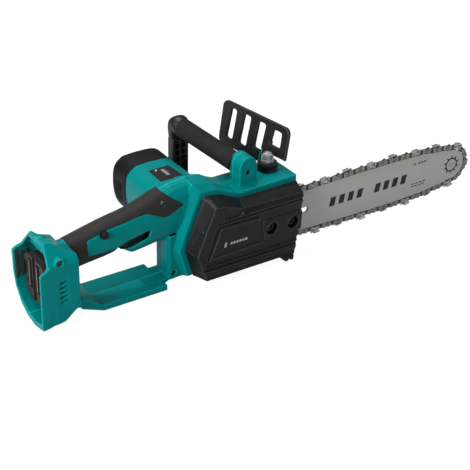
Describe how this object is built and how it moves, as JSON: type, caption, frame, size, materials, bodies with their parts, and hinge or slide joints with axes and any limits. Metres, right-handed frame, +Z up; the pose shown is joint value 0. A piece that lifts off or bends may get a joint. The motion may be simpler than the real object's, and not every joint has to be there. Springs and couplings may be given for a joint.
{
  "type": "cordless chainsaw",
  "caption": "Rear-handle cordless chainsaw: guide bar with chain, chain cover, two-shell housing, side motor, front handle with hinged hand guard and rear battery foot.",
  "frame": {"origin": "centre of the chain drive sprocket, in the middle plane of the guide bar", "axes": "+X forward along the guide bar, +Y to the operator's left (motor side; the chain cover is on -Y), +Z up with the saw standing upright"},
  "size_m": [0.6611, 0.1745, 0.1658],
  "materials": {
    "teal_abs": "fine satin texture",
    "black_nylon": "glass-filled nylon, lightly textured",
    "soft_rubber": "soft-touch overmould",
    "steel": "machined",
    "dark_steel": "black oxide",
    "bar_steel": "ground and lacquered",
    "chain_steel": "blued, with bright edges",
    "copper": "bare",
    "circuit_board": "solder mask",
    "aluminium": "as cast",
    "clear_plastic": "clear, smoke tint",
    "tank_plastic": "translucent natural"
  },
  "bodies": {
    "saw_body": {"bar_backplate": "steel", "bar_stud_1": "steel", "bar_stud_2": "steel", "bearing_motor_front": "steel", "bearing_motor_rear": "steel", "bearing_output_front": "steel", "bearing_output_rear": "steel", "board_heat_sink": "aluminium", "chain_cover": "black_nylon", "chain_loop": "chain_steel", "contact_blade_neg": "copper", "contact_blade_pos": "copper", "control_board": "circuit_board", "cover_nut_1": "dark_steel", "cover_nut_2": "dark_steel", "front_handle": "black_nylon", "front_handle_grip": "soft_rubber", "grip_overmould_left": "soft_rubber", "grip_overmould_right": "soft_rubber", "guard_pivot_pin": "steel", "guide_bar": "bar_steel", "handle_boss_screw": "dark_steel", "housing_left": "teal_abs", "housing_right": "teal_abs", "housing_screw_1": "dark_steel", "housing_screw_2": "dark_steel", "housing_screw_3": "dark_steel", "motor_cap_screw_1": "dark_steel", "motor_cap_screw_2": "dark_steel", "motor_end_cap": "black_nylon", "motor_housing": "teal_abs", "motor_stator": "steel", "nose_hub": "steel", "oil_filler": "black_nylon", "oil_pump": "aluminium", "oil_tank": "tank_plastic", "oil_tube": "black_nylon", "stator_winding_front": "copper", "stator_winding_rear": "copper", "tension_block": "steel", "terminal_block": "black_nylon", "trigger_pin": "steel", "trigger_spring": "steel", "trigger_switch": "black_nylon"},
    "trigger": {"trigger": "black_nylon"},
    "lock_off_button": {"lock_off_button": "black_nylon"},
    "hand_guard": {"hand_guard": "black_nylon"},
    "oil_cap": {"oil_cap_dome": "clear_plastic"},
    "rotor": {"rotor_shaft": "steel", "motor_pinion": "dark_steel", "rotor_core": "dark_steel", "cooling_fan": "black_nylon"},
    "output": {"drive_shaft": "steel", "drive_gear": "steel", "drive_sprocket": "dark_steel", "circlip": "dark_steel"},
    "nose_wheel": {"nose_sprocket": "steel"},
    "tension_screw": {"tension_screw": "steel"}
  },
  "joints": [
    {"name": "trigger_pull", "type": "hinge", "parent": "saw_body", "child": "trigger", "pos_m": [-0.102, 0.03, 0.031], "axis": [0, 1, 0], "range_deg": [0, 8], "deforming": ["trigger_spring"]},
    {"name": "lock_off_press", "type": "slide", "parent": "saw_body", "child": "lock_off_button", "axis": [0, 1, 0], "range_m": [0, 0.004]},
    {"name": "hand_guard_tilt", "type": "hinge", "parent": "saw_body", "child": "hand_guard", "pos_m": [0.092, 0.056, 0.062], "axis": [0, 1, 0], "range_deg": [0, 18]},
    {"name": "oil_cap_turn", "type": "hinge", "parent": "saw_body", "child": "oil_cap", "pos_m": [0.08, 0.034, 0.066], "axis": [0, 0, 1], "continuous": true},
    {"name": "rotor_spin", "type": "hinge", "parent": "saw_body", "child": "rotor", "pos_m": [-0.0438, 0.08, 0.022], "axis": [0, 1, 0], "continuous": true},
    {"name": "sprocket_spin", "type": "hinge", "parent": "saw_body", "child": "output", "pos_m": [0, 0, 0], "axis": [0, 1, 0], "continuous": true},
    {"name": "nose_sprocket_spin", "type": "hinge", "parent": "saw_body", "child": "nose_wheel", "pos_m": [0.3674, 0, 0], "axis": [0, 1, 0], "continuous": true},
    {"name": "tension_screw_turn", "type": "hinge", "parent": "saw_body", "child": "tension_screw", "pos_m": [0.099, 0.0112, -0.016], "axis": [1, 0, 0], "continuous": true}
  ],
  "couplings": [
    {"joint": "sprocket_spin", "follows": "rotor_spin", "ratio": -0.32432},
    {"joint": "nose_sprocket_spin", "follows": "rotor_spin", "ratio": -0.19459}
  ]
}
